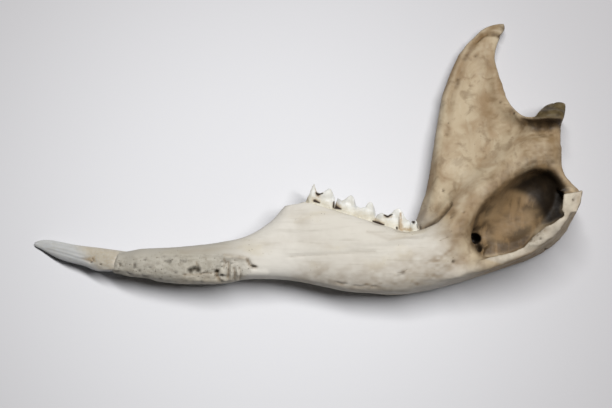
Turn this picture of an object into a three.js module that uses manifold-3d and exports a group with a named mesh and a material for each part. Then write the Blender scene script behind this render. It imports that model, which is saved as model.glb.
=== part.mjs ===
// The right half of a large kangaroo's lower jaw, with one incisor and four molars, lying on its outer side.
// Millimetres. X runs from the incisor's tip to the angle of the jaw, Y from the lower border up to the
// coronoid process, and Z from the outer side, which rests on the ground, to the inner side, which shows.
// The bone is a distance field: rounded forms are blended together, hollows are carved out of them, and
// the surface where the field is zero is meshed. The teeth are closed lofts, and each sits in a socket.
import * as THREE from "three";
import { mergeVertices } from "three/addons/utils/BufferGeometryUtils.js";
import Module from "manifold-3d";

const wasm = await Module();
wasm.setup();

// Driving dimensions
const SOCKET_GAP = 0.3; // clear space between a tooth and its socket
const BLEND = 4; // usual radius where two forms run together
const EDGE_ROUND = 1.3; // most that the edges of the blade and of the wall are rounded
// The collar around the incisor: where its lower edge is, and how far it slopes back for each millimetre up
const COLLAR = { x: 22.0, y: 6.5, slope: 0.5 };

// The body of the jaw, station by station: x, lower border, upper border, outer side, inner side
const BODY_STATIONS = [
  [18, 7.0, 13.4, 3.2, 9.2],
  [24, 5.7, 13.2, 3.3, 10.4],
  [32, 4.4, 13.2, 3.6, 12.6],
  [45, 2.8, 13.8, 4.6, 14.2],
  [55, 2.9, 14.9, 5.0, 14.6],
  [63, 4.2, 16.9, 4.9, 14.9],
  [70, 4.2, 21.4, 4.5, 15.2],
  [74, 4.0, 26.0, 4.2, 15.4],
  [80, 3.1, 27.4, 3.9, 15.8],
  [86, 1.8, 25.9, 3.4, 16.3],
  [93, 0.6, 23.6, 2.8, 16.8],
  [100, 0.1, 21.0, 2.4, 17.3],
  [108, 0.1, 18.2, 1.8, 17.9],
  [114, 1.1, 18.8, 1.3, 18.2],
  [120, 2.3, 22.5, 1.1, 18.2],
  [126, 4.3, 28.0, 0.8, 17.8],
  [132, 6.5, 33.0, 0.6, 17.0],
  [139, 9.2, 37.0, 0.5, 16.2],
  [146, 12.3, 40.0, 0.6, 15.4],
  [152, 15.8, 39.0, 1.0, 14.8],
  [156, 19.6, 34.0, 1.6, 14.4],
  [160, 25.0, 29.5, 3.0, 13.0],
];
const BODY_END = 159.4;
const BODY_SQUARENESS = 2.7; // 2 would make the body's sections ellipses

// The blade of the ramus, as its outline from the inner side
const BLADE_OUTLINE = [
  [113.6, 16.0], [114.4, 21.2], [115.9, 25.4], [118.2, 33.0], [118.9, 42.0], [120.0, 50.6], [122.1, 61.4],
  [125.6, 70.8], [130.9, 77.6], [136.4, 80.9], [139.5, 81.7], [138.0, 79.2], [135.2, 76.0], [134.2, 72.2],
  [135.6, 65.6], [137.6, 59.0], [140.4, 53.9], [144.6, 51.2], [151.0, 51.0], [153.4, 48.6], [153.4, 43.0],
  [152.8, 37.0], [146.0, 28.0], [134.0, 18.0], [120.0, 12.0],
];
// Its middle as [y, z], and its thickness as [y, half the thickness]
const BLADE_MIDDLE = [[16, 7.4], [30, 7.8], [42, 7.0], [55, 5.0], [68, 3.1], [82, 2.2]];
const BLADE_HALF = [[20, 3.8], [34, 3.3], [46, 2.3], [60, 1.5], [82, 1.2]];
const BLADE_BACKWARD_RISE = 0.09; // how fast its lower part comes inwards towards the condyle

// The wall of the angular process, along its foot: x, y, height of its top, how far the top leans over
// the fossa, and half its thickness
const WALL_PATH = [
  [114, 4.0, 14.0, 0, 1.6], [124.0, 5.6, 17.4, -0.5, 1.7], [131.6, 7.8, 19.4, -0.6, 1.7],
  [138.8, 10.1, 21.2, -0.5, 1.7], [144.2, 12.2, 22.6, -0.1, 1.8], [149.1, 15.1, 24.0, 0.6, 1.9],
  [152.4, 18.0, 25.2, 1.3, 2.1], [154.6, 21.2, 26.0, 1.9, 2.3], [155.9, 24.6, 26.4, 2.2, 2.5],
  [156.4, 28.0, 26.4, 2.2, 2.5],
];
const WALL_FOOT = 10; // height at which the wall stands on its path
const WALL_BOTTOM = 1.5;
const FOSSA_CENTRE = [138, 24];

// Small tools for numbers
const clamp = (v, low, high) => Math.min(Math.max(v, low), high);
const smooth = (v, low, high) => THREE.MathUtils.smoothstep(v, low, high);

// A smooth curve through the points [input, value, value...], as a function of its input
function profile(points) {
  const columns = points[0].length - 1;
  return (input) => {
    const at = clamp(input, points[0][0], points[points.length - 1][0]);
    let i = 0;
    while (i < points.length - 2 && at > points[i + 1][0]) i++;
    const [before, from, to, after] = [Math.max(i - 1, 0), i, i + 1, Math.min(i + 2, points.length - 1)].map(
      (k) => points[k],
    );
    const span = to[0] - from[0];
    const t = (at - from[0]) / span;
    const values = [];
    for (let c = 1; c <= columns; c++) {
      const slopeFrom = ((to[c] - before[c]) / (to[0] - before[0])) * span;
      const slopeTo = ((after[c] - from[c]) / (after[0] - from[0])) * span;
      values.push(
        (2 * t ** 3 - 3 * t ** 2 + 1) * from[c] + (t ** 3 - 2 * t ** 2 + t) * slopeFrom +
          (3 * t ** 2 - 2 * t ** 3) * to[c] + (t ** 3 - t ** 2) * slopeTo,
      );
    }
    return columns === 1 ? values[0] : values;
  };
}

// Distance fields. Each is a function of x, y and z that is negative inside the form.
const joined = (radius, ...fields) => (x, y, z) =>
  fields.map((field) => field(x, y, z)).reduce((a, b) => {
    const near = Math.max(radius - Math.abs(a - b), 0) / radius;
    return Math.min(a, b) - (near * near * radius) / 4;
  });
const carved = (radius, form, hollow) => {
  const cut = joined(radius, (x, y, z) => -form(x, y, z), hollow);
  return (x, y, z) => -cut(x, y, z);
};

// An ellipsoid turned about Z, then about X
function lobe(centre, radii, turn = 0, tip = 0) {
  const toLocal = new THREE.Matrix4()
    .makeTranslation(...centre)
    .multiply(new THREE.Matrix4().makeRotationZ(turn))
    .multiply(new THREE.Matrix4().makeRotationX(tip))
    .invert();
  const p = new THREE.Vector3();
  return (x, y, z) => {
    p.set(x, y, z).applyMatrix4(toLocal);
    const reach = Math.hypot(p.x / radii[0], p.y / radii[1], p.z / radii[2]);
    const steepness = Math.hypot(p.x / radii[0] ** 2, p.y / radii[1] ** 2, p.z / radii[2] ** 2);
    return steepness < 1e-6 ? -Math.min(...radii) : (reach * (reach - 1)) / steepness;
  };
}

// A round limb through the points [x, y, z, radius]
function limb(points) {
  const [a, b, p] = [new THREE.Vector3(), new THREE.Vector3(), new THREE.Vector3()];
  return (x, y, z) => {
    let nearest = Infinity;
    for (let i = 0; i + 1 < points.length; i++) {
      a.set(...points[i].slice(0, 3));
      b.set(...points[i + 1].slice(0, 3)).sub(a);
      p.set(x, y, z).sub(a);
      const t = clamp(p.dot(b) / b.lengthSq(), 0, 1);
      const radius = THREE.MathUtils.lerp(points[i][3], points[i + 1][3], t);
      nearest = Math.min(nearest, p.addScaledVector(b, -t).length() - radius);
    }
    return nearest;
  };
}

// The nearest point of a path in the XY plane: its distance, its place along the path, and its segment
function nearestOnPath(path, x, y) {
  let found = { distance: Infinity, index: 0, t: 0 };
  for (let i = 0; i + 1 < path.length; i++) {
    const [ax, ay] = path[i];
    const [bx, by] = path[i + 1];
    const t = clamp(((x - ax) * (bx - ax) + (y - ay) * (by - ay)) / ((bx - ax) ** 2 + (by - ay) ** 2), 0, 1);
    const distance = Math.hypot(x - ax - t * (bx - ax), y - ay - t * (by - ay));
    if (distance < found.distance) found = { distance, index: i, t };
  }
  return found;
}

// A slab with rounded edges: across is the distance from its side, and through the distance from its middle
function slab(across, through, half) {
  const round = Math.min(half, EDGE_ROUND);
  const [u, v] = [across + round, through - half + round];
  return Math.hypot(Math.max(u, 0), Math.max(v, 0)) + Math.min(Math.max(u, v), 0) - round;
}

// The body of the jaw: at each x, a rounded section between its borders and its sides
function bodyField() {
  const borders = profile(BODY_STATIONS);
  return (x, y, z) => {
    const [low, high, outer, inner] = borders(x);
    const [tall, wide] = [(high - low) / 2, (inner - outer) / 2];
    const [v, w] = [Math.abs(y - (low + high) / 2) / tall, Math.abs(z - (outer + inner) / 2) / wide];
    const reach = (v ** BODY_SQUARENESS + w ** BODY_SQUARENESS) ** (1 / BODY_SQUARENESS);
    const beforeCollar = COLLAR.x + COLLAR.slope * (y - COLLAR.y) - x;
    return Math.max((reach - 1) * Math.min(tall, wide), beforeCollar, x - BODY_END);
  };
}

// The blade that rises to the coronoid process and the condyle
function bladeField() {
  const corners = [...BLADE_OUTLINE, BLADE_OUTLINE[0]].map(([x, y]) => new THREE.Vector2(x, y));
  const rim = new THREE.SplineCurve(corners).getPoints(BLADE_OUTLINE.length * 4).map((p) => [p.x, p.y]);
  const [middle, half] = [profile(BLADE_MIDDLE), profile(BLADE_HALF)];
  const isInside = (x, y) => {
    let inside = false;
    for (let i = 0; i + 1 < rim.length; i++) {
      const [[ax, ay], [bx, by]] = [rim[i], rim[i + 1]];
      if (ay > y !== by > y && x < ax + ((y - ay) * (bx - ax)) / (by - ay)) inside = !inside;
    }
    return inside;
  };
  return (x, y, z) => {
    const { distance } = nearestOnPath(rim, x, y);
    const rise = BLADE_BACKWARD_RISE * (x - 122) * (1 - smooth(y, 46, 66));
    return slab(isInside(x, y) ? -distance : distance, Math.abs(z - middle(y) - rise), half(y));
  };
}

// The wall of the angular process, which stands on the lower border and leans over the fossa
function wallField() {
  return (x, y, z) => {
    const foot = nearestOnPath(WALL_PATH, x, y);
    const [from, to] = [WALL_PATH[foot.index], WALL_PATH[foot.index + 1]];
    const between = (column) => THREE.MathUtils.lerp(from[column], to[column], foot.t);
    const [top, lean, half] = [2, 3, 4].map(between);
    const [outX, outY] = [x - FOSSA_CENTRE[0], y - FOSSA_CENTRE[1]];
    const shift = (lean * (z - WALL_FOOT)) / (top - WALL_FOOT) / Math.hypot(outX, outY);
    const { distance } = nearestOnPath(WALL_PATH, x + outX * shift, y + outY * shift);
    return slab(Math.max(z - top, WALL_BOTTOM - z), distance, half);
  };
}

function boneField() {
  const frontBorder = limb([
    [115.4, 20, 5.2, 3.2], [118.4, 30, 5.8, 2.9], [120.7, 44, 5.8, 2.2], [123.1, 59, 4.4, 1.8],
    [128.4, 72.6, 3.2, 1.5], [137.8, 80.6, 2.5, 1.0],
  ]);
  const backBorder = limb([
    [137.4, 79.4, 2.6, 1.1], [135.4, 71, 3.5, 1.2], [138.2, 60, 4.8, 1.4], [141.2, 54.2, 7, 1.7],
    [146.4, 51.6, 9.6, 2.6],
  ]);
  const fossaRoof = limb([
    [124, 18, 13, 5], [132, 27.6, 12.8, 4], [140, 35.4, 12.0, 3.6], [147, 42.0, 11.4, 3.4],
  ]);
  const hindBorder = limb([
    [151.2, 47, 10.5, 2.4], [151.1, 38, 11, 1.9], [153.1, 33, 12.4, 1.7], [157.2, 28.8, 15, 1.6],
  ]);
  const neck = limb([[150.6, 52, 9.8, 3.6], [149.4, 43, 10.4, 3.8]]);
  const condyle = lobe([152.2, 53.4, 10.4], [4.8, 2.8, 9.2], 0, 0.42);
  const condyleLip = limb([
    [142, 53.4, 9.6, 1.6], [145.2, 51.6, 13.8, 1.7], [149.4, 50.5, 16.8, 1.7], [153.4, 51.0, 16.8, 1.5],
  ]);
  const masseterCrest = limb([
    [104, 5, 5, 3], [114, 5.6, 3.8, 3], [124, 8.0, 2.8, 2.5], [134, 11.8, 2.4, 2], [144, 16.0, 2.4, 1.9],
    [151, 20.8, 2.7, 1.9], [155.4, 26.2, 3.6, 1.8],
  ]);
  const blade = joined(9, bladeField(), fossaRoof);
  const solid = joined(BLEND, bodyField(), blade, frontBorder, backBorder, hindBorder, neck, masseterCrest);
  const withCondyle = joined(2, solid, joined(3, condyle, condyleLip));

  const pterygoidFossa = joined(
    5, lobe([141.2, 21.2, 19.5], [15.6, 9.6, 12.0], 0.56), lobe([146.8, 29.4, 13.0], [7.0, 6.0, 7.6], 0.4),
  );
  const jawCanal = limb([[133, 17, 12.5, 3], [124, 14.6, 11, 2.4], [114, 12.6, 10, 1.8]]);
  const masseterFossa = joined(
    6, lobe([136, 27, -3.2], [17, 12.5, 8.2], 0.75), lobe([130, 46, -3.0], [8.5, 17, 6.8], -0.15),
    lobe([123.6, 20.4, -1], [4.6, 3.6, 8.5], 0.5),
  );
  const condylePit = lobe([150.0, 47.6, 17.4], [5.4, 2.1, 4.4], 0.05);
  const hollows = [[3, pterygoidFossa], [1.2, jawCanal], [3, masseterFossa], [1.5, condylePit]];
  const hollowed = hollows.reduce((form, [radius, hollow]) => carved(radius, form, hollow), withCondyle);
  return joined(1.6, hollowed, wallField());
}

// Grid lines from a start through stretches [end, spacing]
function gridLines(start, ...stretches) {
  const lines = [start];
  for (const [end, spacing] of stretches) while (lines.at(-1) < end) lines.push(lines.at(-1) + spacing);
  return lines;
}

// The surface where a field is zero. Each cell of the grid that the surface crosses gets one vertex for each
// sheet of surface in it, and each grid edge that it crosses gets the quad between its four cells.
function surfaceOf(field, xs, ys, zs) {
  const lines = [xs, ys, zs];
  const size = lines.map((l) => l.length);
  const stride = [1, size[0], size[0] * size[1]];
  const values = new Float64Array(size[0] * size[1] * size[2]);
  for (let k = 0, n = 0; k < size[2]; k++)
    for (let j = 0; j < size[1]; j++)
      for (let i = 0; i < size[0]; i++, n++) values[n] = field(xs[i], ys[j], zs[k]);

  const corners = [0, 1, 2, 3, 4, 5, 6, 7].map((c) => [c & 1, (c >> 1) & 1, c >> 2]);
  const edges = [];
  for (let axis = 0; axis < 3; axis++)
    corners.forEach((corner, c) => corner[axis] === 0 && edges.push({ from: c, to: c | (1 << axis), axis }));
  const faces = [];
  for (let axis = 0; axis < 3; axis++)
    for (const side of [0, 1]) {
      const [u, v] = [(axis + 1) % 3, (axis + 2) % 3];
      const cycle = [[0, 0], [1, 0], [1, 1], [0, 1]].map(([a, b]) => (side << axis) | (a << u) | (b << v));
      faces.push(
        cycle.map((c, i) => {
          const next = cycle[(i + 1) % 4];
          return edges.findIndex((e) => Math.min(c, next) === e.from && Math.max(c, next) === e.to);
        }).map((edge, i) => ({ edge, corner: cycle[i] })),
      );
    }

  const vertices = [];
  const cellVertex = new Map(); // cell and edge to vertex
  const cellAt = (i, j, k) => i + j * stride[1] + k * stride[2];
  for (let k = 0; k + 1 < size[2]; k++)
    for (let j = 0; j + 1 < size[1]; j++)
      for (let i = 0; i + 1 < size[0]; i++) {
        const cell = cellAt(i, j, k);
        const value = corners.map(([a, b, c]) => values[cell + a + b * stride[1] + c * stride[2]]);
        const inside = value.map((v) => v < 0);
        if (inside.every((v) => v) || !inside.some((v) => v)) continue;
        const group = edges.map((_, e) => e);
        const root = (e) => (group[e] === e ? e : root(group[e]));
        for (const face of faces) {
          const crossed = face.filter(({ edge }) => inside[edges[edge].from] !== inside[edges[edge].to]);
          if (crossed.length === 2) group[root(crossed[0].edge)] = root(crossed[1].edge);
          if (crossed.length === 4)
            face.forEach(({ corner, edge }, n) => {
              // Each inside corner of a checkered face is cut off by itself
              if (inside[corner]) group[root(edge)] = root(face[(n + 3) % 4].edge);
            });
        }
        const sums = new Map();
        edges.forEach(({ from, to, axis }, e) => {
          if (inside[from] === inside[to]) return;
          const t = value[from] / (value[from] - value[to]);
          const at = [i, j, k].map((n, d) => lines[d][n + corners[from][d]]);
          at[axis] += t * (lines[axis][[i, j, k][axis] + 1] - lines[axis][[i, j, k][axis]]);
          const sum = sums.get(root(e)) ?? { total: [0, 0, 0], count: 0, edges: [] };
          at.forEach((v, d) => (sum.total[d] += v));
          sum.count++;
          sum.edges.push(e);
          sums.set(root(e), sum);
        });
        for (const { total, count, edges: own } of sums.values()) {
          own.forEach((e) => cellVertex.set(cell * 12 + e, vertices.length));
          vertices.push(total.map((v) => v / count));
        }
      }

  const index = [];
  for (let axis = 0; axis < 3; axis++) {
    const [u, v] = [(axis + 1) % 3, (axis + 2) % 3];
    const limit = [size[0], size[1], size[2]];
    limit[axis]--;
    for (let k = 0; k < limit[2]; k++)
      for (let j = 0; j < limit[1]; j++)
        for (let i = 0; i < limit[0]; i++) {
          const at = [i, j, k];
          const here = cellAt(i, j, k);
          const starts = values[here] < 0;
          if (starts === values[here + stride[axis]] < 0 || at[u] === 0 || at[v] === 0) continue;
          const quad = [[0, 0], [1, 0], [1, 1], [0, 1]].map(([a, b]) => {
            const cell = here - a * stride[u] - b * stride[v];
            const e = edges.findIndex((g) => g.axis === axis && g.from === ((a << u) | (b << v)));
            return cellVertex.get(cell * 12 + e);
          });
          if (!starts) quad.reverse();
          const [p, q, r, s] = quad.map((n) => new THREE.Vector3(...vertices[n]));
          const alongFirst = p.distanceToSquared(r) <= q.distanceToSquared(s);
          const order = alongFirst ? [0, 1, 2, 0, 2, 3] : [0, 1, 3, 1, 2, 3];
          index.push(...order.map((n) => quad[n]));
        }
  }
  settle(vertices, field);
  return new THREE.BufferGeometry()
    .setAttribute("position", new THREE.Float32BufferAttribute(vertices.flat(), 3))
    .setIndex(index);
}

// Moves each vertex along the field's gradient until it lies on the surface
function settle(vertices, field) {
  const passes = 3;
  const step = 0.05;
  const leastSteepness = 0.2;
  const longestMove = 0.5;
  for (const v of vertices)
    for (let pass = 0; pass < passes; pass++) {
      const value = field(...v);
      const gradient = [0, 1, 2].map((d) => {
        const ahead = [...v];
        ahead[d] += step;
        return (field(...ahead) - value) / step;
      });
      const steepness = Math.max(gradient.reduce((sum, g) => sum + g * g, 0), leastSteepness);
      const move = clamp(value / steepness, -longestMove, longestMove);
      gradient.forEach((g, d) => (v[d] -= move * g));
    }
}

// Closed solids for joining and cutting
function solidOf(geometry) {
  const bare = geometry.clone();
  for (const name of ["normal", "uv"]) bare.deleteAttribute(name);
  const merged = mergeVertices(bare, 1e-4);
  return new wasm.Manifold(
    new wasm.Mesh({
      numProp: 3,
      vertProperties: new Float32Array(merged.attributes.position.array),
      triVerts: new Uint32Array(merged.index.array),
    }),
  );
}

function geometryOf(solid) {
  const { vertProperties, triVerts } = solid.getMesh();
  return new THREE.BufferGeometry()
    .setAttribute("position", new THREE.BufferAttribute(vertProperties, 3))
    .setIndex(new THREE.BufferAttribute(triVerts, 1));
}

// A closed loft through rings of points, with a point at each end
function loft(rings, startTip, endTip) {
  const [count, round] = [rings.length, rings[0].length];
  const points = [...rings.flat(), startTip, endTip].flat();
  const index = [];
  for (let j = 0; j < round; j++) {
    const next = (j + 1) % round;
    for (let i = 0; i + 1 < count; i++) {
      const [a, b] = [i * round, (i + 1) * round];
      index.push(a + j, b + next, b + j, a + j, a + next, b + next);
    }
    const last = (count - 1) * round;
    index.push(count * round, next, j, last + next, count * round + 1, last + j);
  }
  return new THREE.BufferGeometry()
    .setAttribute("position", new THREE.Float32BufferAttribute(points, 3))
    .setIndex(index);
}

// The incisor: a blade from its tip to the end of its root. Each station is x, lower edge, upper edge, z,
// half its thickness
const INCISOR_STATIONS = [
  [-0.5, 15.1, 16.6, 0.6, 0.6], [1.4, 14.2, 17.1, 1.0, 1.0], [4.6, 12.3, 16.9, 1.8, 1.5],
  [8.6, 10.5, 15.9, 3.0, 1.9], [13.2, 9.2, 14.9, 4.4, 2.1], [17.6, 8.1, 14.2, 5.4, 2.2],
  [21.4, 7.4, 13.3, 6.3, 2.2], [25.6, 7.2, 12.4, 7.0, 2.1], [30.6, 7.4, 11.6, 7.7, 1.7],
];
const INCISOR_TIP = [-0.9, 15.8, 0.5];
const INCISOR_END = [33.6, 9.5, 8.1];
const INCISOR_ROUND = 14; // points in each of its sections

function incisorGeometry(isSocket) {
  const clearance = isSocket ? SOCKET_GAP : 0;
  const rings = INCISOR_STATIONS.map(([x, low, high, z, half]) => {
    const ring = [];
    const tall = (high - low) / 2 + clearance;
    for (let j = 0; j < INCISOR_ROUND; j++) {
      const angle = (2 * Math.PI * j) / INCISOR_ROUND;
      ring.push([x, (low + high) / 2 + tall * Math.cos(angle), z + (half + clearance) * Math.sin(angle)]);
    }
    return ring;
  });
  const [tip, end] = [new THREE.Vector3(...INCISOR_TIP), new THREE.Vector3(...INCISOR_END)];
  tip.x -= clearance;
  end.x += clearance;
  return loft(rings, tip.toArray(), end.toArray());
}

// Molars. The row runs from ROW_START and falls towards the back, and each tooth stands square to the row.
const ROW_START = [80.3, 27.0, 10.6];
const ROW_FALL = 0.3; // angle of the row below X
const CROWN_WIDTH = 6.2;
const ROOT_DEPTH = 7.5;
const ROOT_NARROWING = 0.28; // share of its width that a molar loses down to the end of its root
const ROOT_SHORTENING = 0.16; // and of its length
const CROWN_NARROWING = 0.3; // share of its width that it loses up to its ridges
const CROWN_SHORTENING = 0.03;
const CROWN_HEIGHT = 4.5;
const CHEEK_DROP = 0.12; // how much lower the ridges are halfway to the cheek side, as a share
const RIDGE_DIP = 0.5; // how far the ridges dip in the middle
const SOCKET_TOP = 7; // how far above the row line a socket is cut
// Each tooth: where it starts along the row, its length, how far it stands above the row line, and its ridge
// line along the inner side as [place along the tooth, height above its neck]
const MOLARS = [
  {
    name: "first_molar", start: -0.4, length: 8.45, lift: 0.6,
    ridge: [
      [0, 0.4], [0.1, 4.9], [0.2, 3.4], [0.3, 2.5], [0.42, 2.6], [0.62, 4.6], [0.72, 4.6], [0.85, 3.2],
      [1, 0.4],
    ],
  },
  {
    name: "second_molar", start: 8.25, length: 12.2, lift: 0.5,
    ridge: [
      [0, 1.6], [0.05, 2.5], [0.13, 2.1], [0.22, 4.0], [0.3, 4.8], [0.38, 4.1], [0.48, 2.0], [0.62, 1.9],
      [0.72, 3.6], [0.8, 4.7], [0.9, 3.4], [1, 0.5],
    ],
  },
  {
    name: "third_molar", start: 20.65, length: 10.5, lift: -0.3,
    ridge: [
      [0, 1.2], [0.1, 3.2], [0.2, 3.0], [0.3, 3.0], [0.4, 4.8], [0.5, 5.9], [0.58, 5.8], [0.7, 4.6],
      [0.82, 3.3], [0.91, 3.3], [1, 0.6],
    ],
  },
  {
    name: "fourth_molar", start: 31.35, length: 7.0, lift: -1.9, inCrypt: true,
    ridge: [[0, 2.4], [0.1, 5.4], [0.2, 4.6], [0.3, 3.2], [0.6, 2.4], [0.82, 2.6], [1, 0.6]],
  },
];

// A molar, or its socket: a block from the bottom of the root to the crown's ridges. A socket is open above,
// but the crypt of a molar that is still coming through fits closely all round it.
function molarGeometry({ start, length, lift, ridge, inCrypt }, isSocket) {
  const clearance = isSocket ? SOCKET_GAP : 0;
  const isOpen = isSocket && !inCrypt;
  const box = new THREE.BoxGeometry(1, 1, 1, 10, 4, 4);
  const place = new THREE.Matrix4()
    .makeTranslation(...ROW_START)
    .multiply(new THREE.Matrix4().makeRotationZ(-ROW_FALL))
    .multiply(new THREE.Matrix4().makeTranslation(start, lift, 0));
  const height = profile(ridge);
  const p = new THREE.Vector3();
  const position = box.attributes.position;
  for (let i = 0; i < position.count; i++) {
    const along = position.getX(i) + 0.5;
    const up = position.getY(i) + 0.5;
    const fromMiddle = 2 * along - 1; // -1 at the front end, 1 at the back end
    const across = position.getZ(i) * 2; // -1 at the cheek side, 1 at the tongue side
    const dip = RIDGE_DIP * (1 - Math.abs(across)) ** 2;
    const ridgeTop = height(along) * (1 - CHEEK_DROP * (1 - across)) - dip;
    const crest = isOpen ? SOCKET_TOP - lift : ridgeTop + clearance;
    const y = THREE.MathUtils.lerp(-ROOT_DEPTH - clearance, crest, up);
    const rootShare = smooth(-y, 0, ROOT_DEPTH);
    const crownShare = isOpen ? 0 : clamp(y / CROWN_HEIGHT, 0, 1);
    const narrowed = 1 - ROOT_NARROWING * rootShare - CROWN_NARROWING * crownShare;
    const shortened = 1 - ROOT_SHORTENING * rootShare - CROWN_SHORTENING * crownShare;
    const corner = 1 - 0.14 * fromMiddle ** 2;
    const halfLength = (length / 2) * shortened + clearance;
    const halfWidth = (CROWN_WIDTH / 2) * narrowed * corner + clearance;
    p.set(length / 2 + fromMiddle * halfLength, y, across * halfWidth);
    position.setXYZ(i, ...p.applyMatrix4(place));
  }
  return box;
}

// The materials, in the bone's and the teeth's own colours
const bone = new THREE.MeshStandardMaterial({ color: 0xd6cbb4, roughness: 0.72, metalness: 0 });
const enamel = new THREE.MeshStandardMaterial({ color: 0xdcdcd6, roughness: 0.38, metalness: 0 });

function namedMesh(name, geometry, material) {
  const mesh = new THREE.Mesh(geometry, material);
  mesh.name = name;
  return mesh;
}

// The bone, meshed on a grid that is finest at the angle and at the condyle, with its sockets cut
function jawbone() {
  const xs = gridLines(18, [70, 3.8], [112, 3.4], [162, 2.35]);
  const ys = gridLines(-3, [36, 2.3], [46, 3], [59, 2.1], [72, 3.1], [84, 2.3]);
  const zs = gridLines(-2, [20, 1.7], [31, 2.2]);
  let solid = solidOf(surfaceOf(boneField(), xs, ys, zs));
  const sockets = [incisorGeometry(true), ...MOLARS.map((molar) => molarGeometry(molar, true))];
  for (const socket of sockets) solid = solid.subtract(solidOf(socket));
  return geometryOf(solid);
}

const jaw = new THREE.Group();
jaw.add(namedMesh("jawbone", jawbone(), bone));
jaw.add(namedMesh("incisor", incisorGeometry(false), enamel));
for (const molar of MOLARS) jaw.add(namedMesh(molar.name, molarGeometry(molar, false), enamel));

// The origin goes under the middle of the jaw, on the ground
const bounds = new THREE.Box3().setFromObject(jaw);
const middle = bounds.getCenter(new THREE.Vector3());
jaw.position.set(-middle.x, -middle.y, -bounds.min.z);

export default jaw;
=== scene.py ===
import math

import bmesh
import bpy
import numpy as np
from mathutils import Matrix, Vector


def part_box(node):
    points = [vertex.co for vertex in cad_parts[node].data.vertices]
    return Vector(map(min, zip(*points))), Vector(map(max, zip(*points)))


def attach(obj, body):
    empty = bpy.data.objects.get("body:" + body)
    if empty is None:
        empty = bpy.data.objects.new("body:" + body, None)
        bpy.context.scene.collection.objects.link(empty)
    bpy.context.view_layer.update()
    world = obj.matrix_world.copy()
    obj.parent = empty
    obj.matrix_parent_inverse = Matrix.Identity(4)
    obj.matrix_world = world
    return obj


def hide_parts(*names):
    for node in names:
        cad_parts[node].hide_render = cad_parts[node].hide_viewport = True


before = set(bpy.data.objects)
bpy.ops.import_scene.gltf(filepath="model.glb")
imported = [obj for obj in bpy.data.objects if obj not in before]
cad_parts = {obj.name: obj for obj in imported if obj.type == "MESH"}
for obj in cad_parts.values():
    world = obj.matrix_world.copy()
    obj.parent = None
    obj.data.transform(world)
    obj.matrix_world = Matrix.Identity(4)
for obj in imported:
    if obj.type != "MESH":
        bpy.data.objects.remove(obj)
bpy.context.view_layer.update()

# The right half of a kangaroo's lower jaw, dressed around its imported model. Lengths here are millimetres in
# the jaw's own frame: x back from the incisor's tip, y up from the lower border, z up from the ground.
# Details that the photograph shows are placed by its pixels, in its frame of 612 by 408. Lines and outlines
# of pixels are given as x, y, x, y and so on.
MM = 0.001
BONE_LOW_CORNER = (22.57, -0.03, -0.20)  # of the bone, in the jaw's own frame
ORIGIN = np.array(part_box("jawbone")[0]) / MM - np.array(BONE_LOW_CORNER)

# The camera
PHOTO_SIZE = (612, 408)
LENS = 110
SENSOR = 36
FOCAL = LENS / SENSOR * PHOTO_SIZE[0]  # in pixels
CAMERA_AIM = np.array([79.85, 26.03, 12.0])
CAMERA_ELEVATION = math.radians(80)
CAMERA_DISTANCE = 547
PIXEL = CAMERA_DISTANCE / FOCAL  # what one pixel spans at the jaw


def camera_axes():
    """The camera's right, up and backward directions, as rows."""
    rise, run = math.sin(CAMERA_ELEVATION), math.cos(CAMERA_ELEVATION)
    return np.array([[1, 0, 0], [0, rise, run], [0, -run, rise]])


def add_object(name, data):
    item = bpy.data.objects.new(name, data)
    bpy.context.scene.collection.objects.link(item)
    return item


def add_camera():
    data = bpy.data.cameras.new("camera")
    data.lens = LENS
    data.sensor_width = SENSOR
    camera = add_object("camera", data)
    place = CAMERA_AIM + CAMERA_DISTANCE * camera_axes()[2]
    camera.location = Vector((place + ORIGIN) * MM)
    camera.rotation_euler = (math.pi / 2 - CAMERA_ELEVATION, 0, 0)
    bpy.context.scene.camera = camera


def to_pixels(points):
    """Where the photograph shows these points."""
    seen = (points - CAMERA_AIM) @ camera_axes().T
    scale = FOCAL / (CAMERA_DISTANCE - seen[:, 2])
    centre = np.array(PHOTO_SIZE) / 2
    return centre + np.stack([seen[:, 0] * scale, -seen[:, 1] * scale], axis=1)


def from_pixels(pixels, height):
    """The points at that height above the ground that the photograph shows at these pixels."""
    pixels = np.reshape(pixels, (-1, 2))
    centre = np.array(PHOTO_SIZE) / 2
    right, up = (pixels[:, 0] - centre[0]) / FOCAL, (centre[1] - pixels[:, 1]) / FOCAL
    local = np.stack([right, up, -np.ones(len(pixels))], axis=1)
    direction = local @ camera_axes()
    eye = CAMERA_AIM + CAMERA_DISTANCE * camera_axes()[2]
    reach = (height - eye[2]) / direction[:, 2]
    return eye + direction * reach[:, None]


# Small tools for numbers. The hash turns a grid cell into a random value, the same on every run.
HASH_FACTORS = np.array([374761393, 668265263, 2147483647])
HASH_SEED = 144665
HASH_MIX = 1274126177
HASH_MASK = 0xFFFFFFFF


def soft_step(values, low, high):
    """From 0 at low to 1 at high, flat at both ends."""
    share = np.clip((values - low) / (high - low), 0, 1)
    return share * share * (3 - 2 * share)


def noise(points, size, seed):
    """Smooth random values from -1 to 1 at these points, in lumps of that size."""
    scaled = points / np.asarray(size, float)
    cell = np.floor(scaled).astype(np.int64)
    part = scaled - cell
    part = part * part * (3 - 2 * part)
    total = np.zeros(len(points))
    for corner in np.ndindex(2, 2, 2):
        at = cell + corner
        key = (at @ HASH_FACTORS + seed * HASH_SEED) & HASH_MASK
        key = ((key ^ (key >> 13)) * HASH_MIX) & HASH_MASK
        value = ((key ^ (key >> 16)) & 0xFFFF) / 32767.5 - 1
        share = np.prod(np.where(np.array(corner) == 1, part, 1 - part), axis=1)
        total += value * share
    return total


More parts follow.
